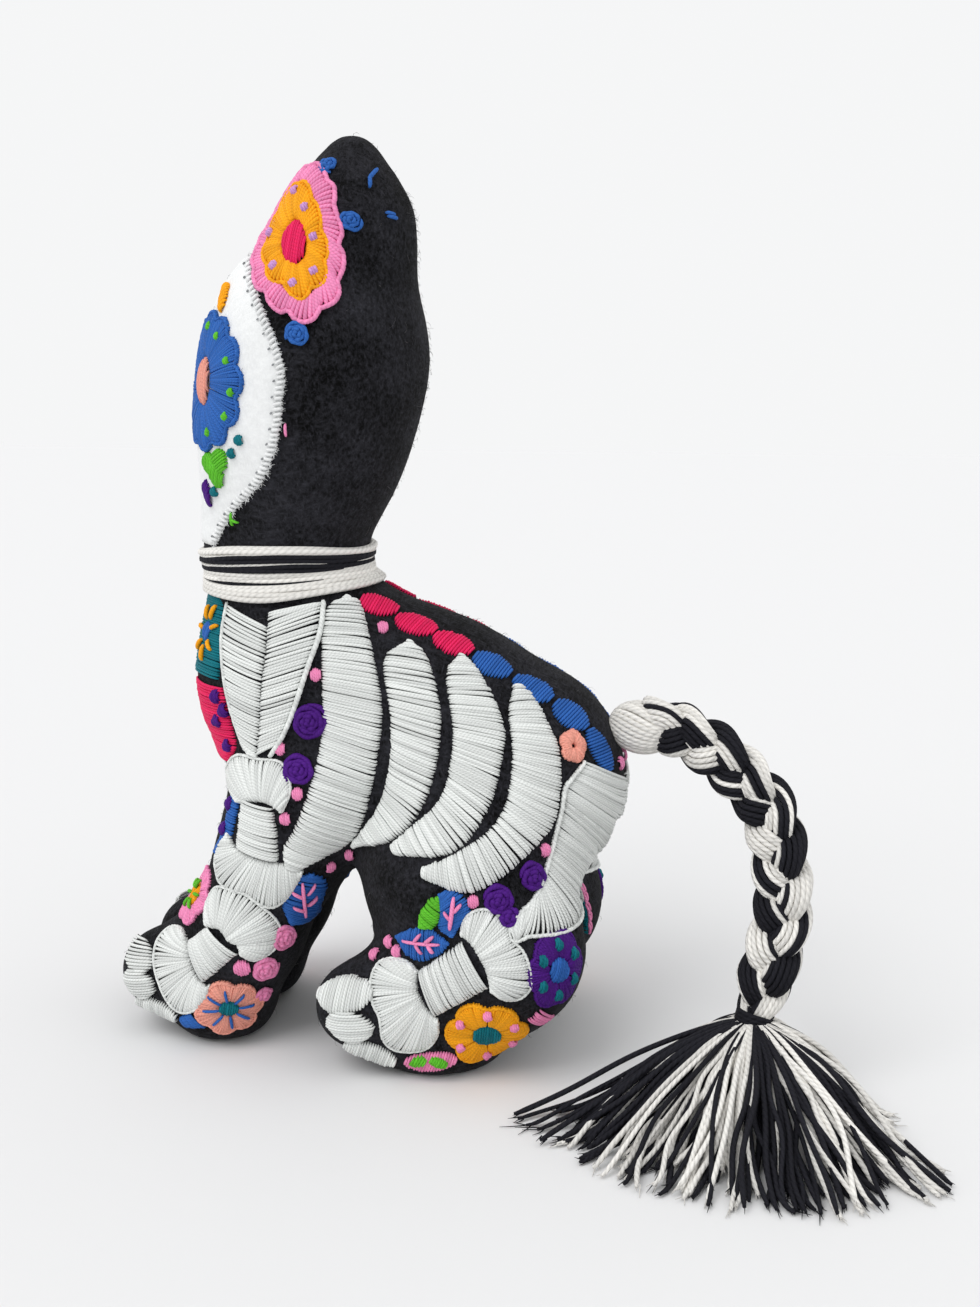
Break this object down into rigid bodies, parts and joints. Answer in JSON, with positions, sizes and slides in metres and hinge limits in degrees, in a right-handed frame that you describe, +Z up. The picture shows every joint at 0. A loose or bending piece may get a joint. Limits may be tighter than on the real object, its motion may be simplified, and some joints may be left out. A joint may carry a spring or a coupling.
{
  "type": "embroidered felt animal figure",
  "caption": "Sitting stuffed felt animal with its head thrown back, satin-stitched skeleton and flowers on both flanks, wound yarn collar and plaited yarn tail.",
  "frame": {"origin": "on the ground under the middle of the animal, without its tail", "axes": "+Z up, the animal faces -X, its left flank faces -Y, the tail is at +X"},
  "size_m": [0.2599, 0.1504, 0.2819],
  "materials": {
    "black_felt": "soft fuzzy wool felt, matt black",
    "white_felt": "soft white wool felt with an overcast edge",
    "stuffing": "loose fibre filling, hidden inside",
    "white_thread": "matt cotton embroidery thread in satin stitch",
    "pink_thread": "matt cotton embroidery thread in satin stitch",
    "magenta_thread": "matt cotton embroidery thread in satin stitch",
    "gold_thread": "matt cotton embroidery thread in satin stitch",
    "blue_thread": "matt cotton embroidery thread in satin stitch",
    "salmon_thread": "matt cotton embroidery thread in satin stitch",
    "purple_thread": "matt cotton embroidery thread in satin stitch",
    "teal_thread": "matt cotton embroidery thread in satin stitch",
    "green_thread": "matt cotton embroidery thread in satin stitch",
    "white_yarn": "wool yarn, plied and slightly hairy",
    "black_yarn": "wool yarn, plied and slightly hairy"
  },
  "bodies": {
    "animal": {"body_felt_left": "black_felt", "body_felt_right": "black_felt", "belly_gusset": "black_felt", "front_leg_felt_left": "black_felt", "front_leg_felt_right": "black_felt", "hind_leg_felt_left": "black_felt", "hind_leg_felt_right": "black_felt", "torso_stuffing": "stuffing", "head_stuffing": "stuffing", "front_leg_stuffing_left": "stuffing", "front_leg_stuffing_right": "stuffing", "hind_leg_stuffing_left": "stuffing", "hind_leg_stuffing_right": "stuffing", "head_felt_left": "black_felt", "head_felt_right": "black_felt", "face_panel": "white_felt", "collar_yarn_white": "white_yarn", "collar_yarn_black": "black_yarn", "ribs_left": "white_thread", "ribs_right": "white_thread", "shoulder_blade_left": "white_thread", "shoulder_blade_right": "white_thread", "arm_bones_left": "white_thread", "arm_bones_right": "white_thread", "front_paw_bones_left": "white_thread", "front_paw_bones_right": "white_thread", "front_toes_left": "white_thread", "front_toes_right": "white_thread", "hip_bone_left": "white_thread", "hip_bone_right": "white_thread", "hind_paw_bones_left": "white_thread", "hind_paw_bones_right": "white_thread", "hind_toes_left": "white_thread", "hind_toes_right": "white_thread", "head_flower_left": "pink_thread", "head_flower_right": "pink_thread", "eye_flower_left": "blue_thread", "eye_flower_right": "blue_thread", "spine_ovals_magenta": "magenta_thread", "spine_ovals_blue": "blue_thread", "chest_flowers_left": "magenta_thread", "chest_flowers_right": "magenta_thread", "purple_roses_left": "purple_thread", "purple_roses_right": "purple_thread", "haunch_flower_left": "purple_thread", "haunch_flower_right": "purple_thread", "gold_flower_left": "gold_thread", "gold_flower_right": "gold_thread", "salmon_flower_left": "salmon_thread", "salmon_flower_right": "salmon_thread", "leaf_sprigs_left": "blue_thread", "leaf_sprigs_right": "blue_thread"},
    "tail_root": {"tail_loop": "white_yarn"},
    "tail": {"tail_plait": "white_yarn", "tail_tie": "black_yarn", "tassel_black": "black_yarn", "tassel_white": "white_yarn"}
  },
  "joints": [
    {"name": "tail_swing", "type": "hinge", "parent": "animal", "child": "tail_root", "pos_m": [0.08476, 0, 0.10367], "axis": [0, 0, 1], "range_deg": [-25, 25]},
    {"name": "tail_lift", "type": "hinge", "parent": "tail_root", "child": "tail", "pos_m": [0.08476, 0, 0.10367], "axis": [0, -1, 0], "range_deg": [0, 45]}
  ]
}
